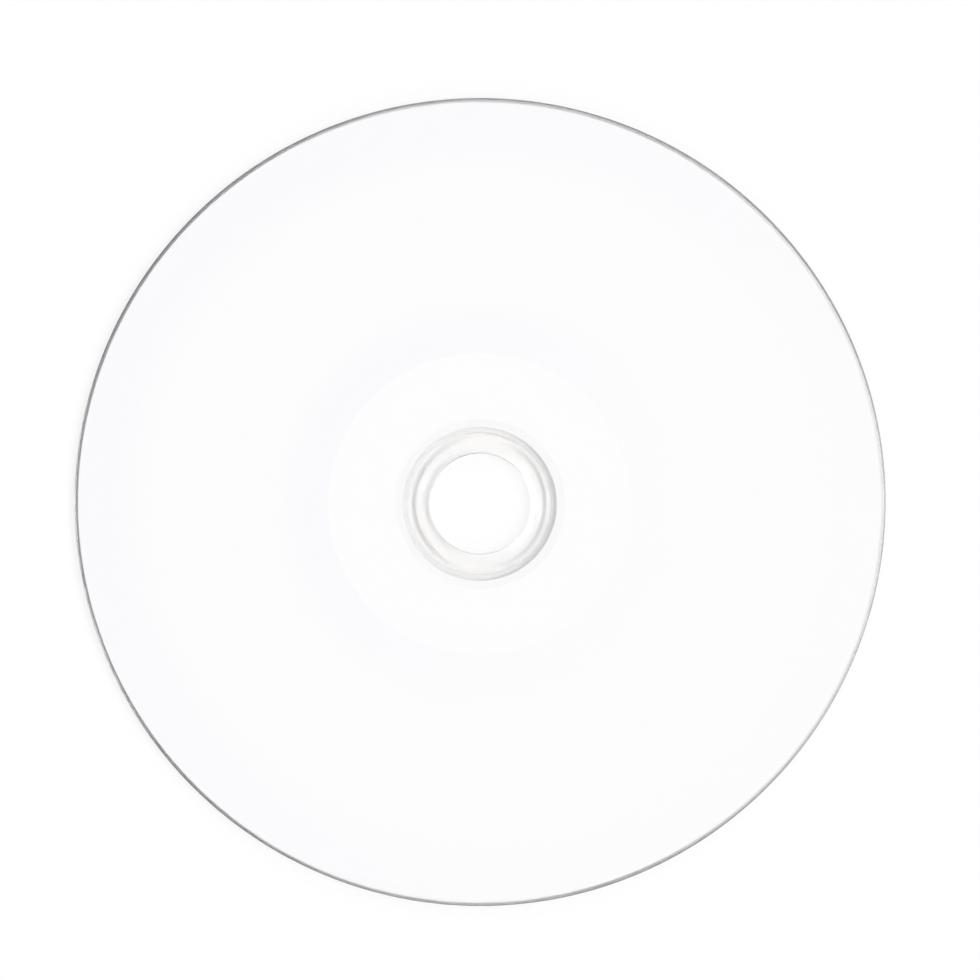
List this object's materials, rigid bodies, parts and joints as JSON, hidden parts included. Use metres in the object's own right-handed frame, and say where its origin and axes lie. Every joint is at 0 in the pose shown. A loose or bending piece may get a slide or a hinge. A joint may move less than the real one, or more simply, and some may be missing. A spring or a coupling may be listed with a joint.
{
  "type": "recordable dvd",
  "caption": "Round recordable optical disc with a white printable face, a clear hub ring and rim round a centre hole, and a violet mirrored read side.",
  "frame": {"origin": "centre of the hole, on the plane that the stacking ring of the read side stands on", "axes": "+Z along the disc's axis, out of the printable label side; the read side faces -Z; X and Y lie in the disc's plane"},
  "size_m": [0.12, 0.12, 0.0014],
  "materials": {
    "clear_polycarbonate": "polished",
    "violet_dye": "gloss",
    "silver_film": "polished",
    "clear_adhesive": "gloss",
    "white_base_ink": "satin",
    "white_receptive_coat": "matte"
  },
  "bodies": {
    "root": {"read_side_substrate": "clear_polycarbonate", "recording_dye": "violet_dye", "reflective_film": "silver_film", "bonding_layer": "clear_adhesive", "label_side_substrate": "clear_polycarbonate", "white_base_coat": "white_base_ink", "ink_receptive_coat": "white_receptive_coat"}
  },
  "joints": []
}
